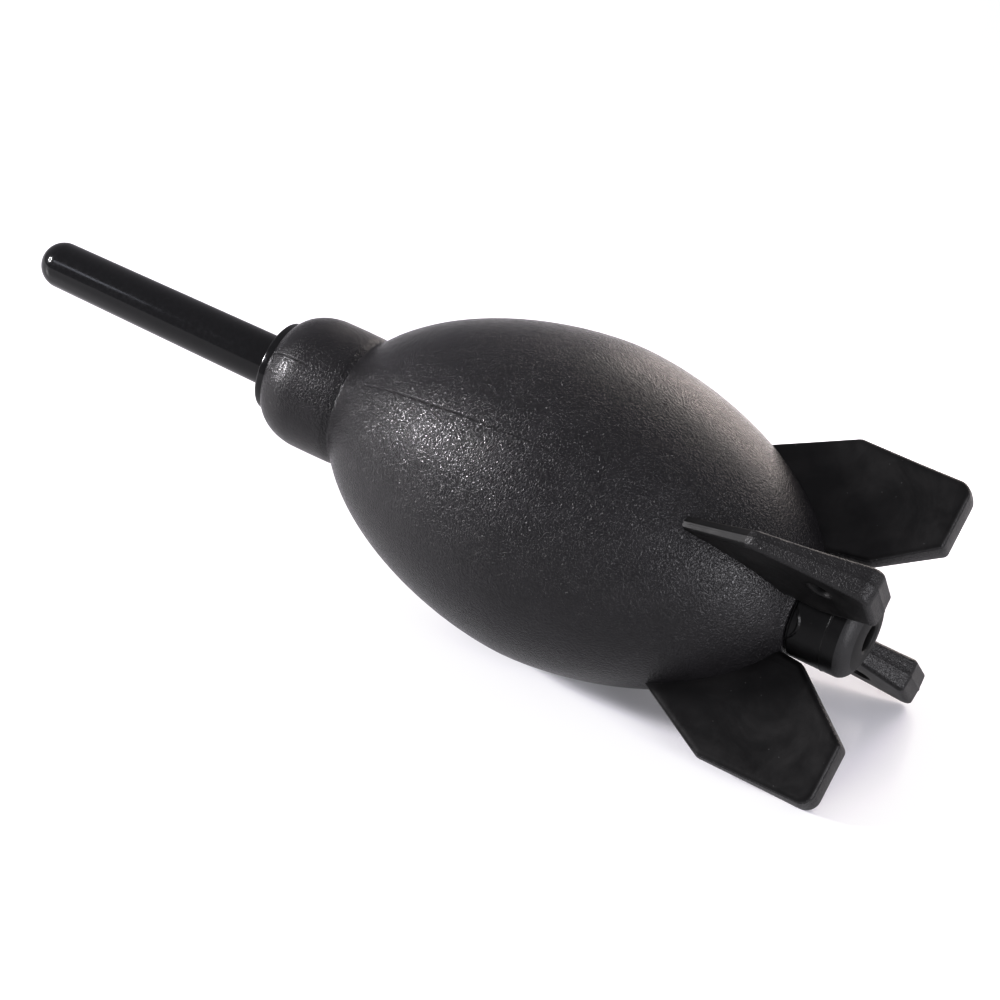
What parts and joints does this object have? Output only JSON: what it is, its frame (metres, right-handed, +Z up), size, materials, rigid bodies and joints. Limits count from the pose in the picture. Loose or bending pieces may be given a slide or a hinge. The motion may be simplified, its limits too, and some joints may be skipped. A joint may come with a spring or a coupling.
{
  "type": "dust blower bulb",
  "caption": "Rocket-shaped rubber hand blower with a hollow squeeze bulb, tapered air nozzle, sprung tail inlet valve and tail fins with lanyard holes.",
  "frame": {"origin": "middle of the bounding box on the floor that the blower lies on", "axes": "+Z up; the nozzle points to -X and upwards by 5.9 degrees, the tail fins are at +X"},
  "size_m": [0.1904, 0.0622, 0.0625],
  "materials": {
    "body_rubber": "matte fine-grained moulded rubber",
    "nozzle_plastic": "polished",
    "valve_brass": "turned",
    "screen_steel": "black-oxide perforated sheet",
    "seal_rubber": "smooth moulded rubber",
    "disc_rubber": "smooth moulded rubber",
    "retainer_plastic": "natural acetal",
    "spring_steel": "drawn wire"
  },
  "bodies": {
    "rubber_body": {"bulb": "body_rubber", "fin_upper_near": "body_rubber", "fin_upper_far": "body_rubber", "fin_lower_near": "body_rubber", "fin_lower_far": "body_rubber", "valve_body": "valve_brass", "screen_ring": "valve_brass", "dust_screen": "screen_steel", "seat_seal": "seal_rubber", "valve_retainer": "retainer_plastic", "snap_ring": "spring_steel", "valve_spring": "spring_steel"},
    "nozzle_holder": {"nozzle_collar": "nozzle_plastic"},
    "nozzle": {"nozzle_tube": "nozzle_plastic"},
    "inlet_poppet": {"valve_disc": "disc_rubber"}
  },
  "joints": [
    {"name": "nozzle_pull", "type": "slide", "parent": "rubber_body", "child": "nozzle_holder", "axis": [-0.9946, 0, 0.1033], "range_m": [0, 0.016]},
    {"name": "nozzle_twist", "type": "hinge", "parent": "nozzle_holder", "child": "nozzle", "pos_m": [-0.03705, 0, 0.03787], "axis": [-0.9946, 0, 0.1033], "continuous": true},
    {"name": "valve_lift", "type": "slide", "parent": "rubber_body", "child": "inlet_poppet", "axis": [-0.9946, 0, 0.1033], "range_m": [0, 0.0009], "stiffness_N_per_m": 40, "springref_m": -0.0006, "deforming": ["valve_spring"]}
  ]
}
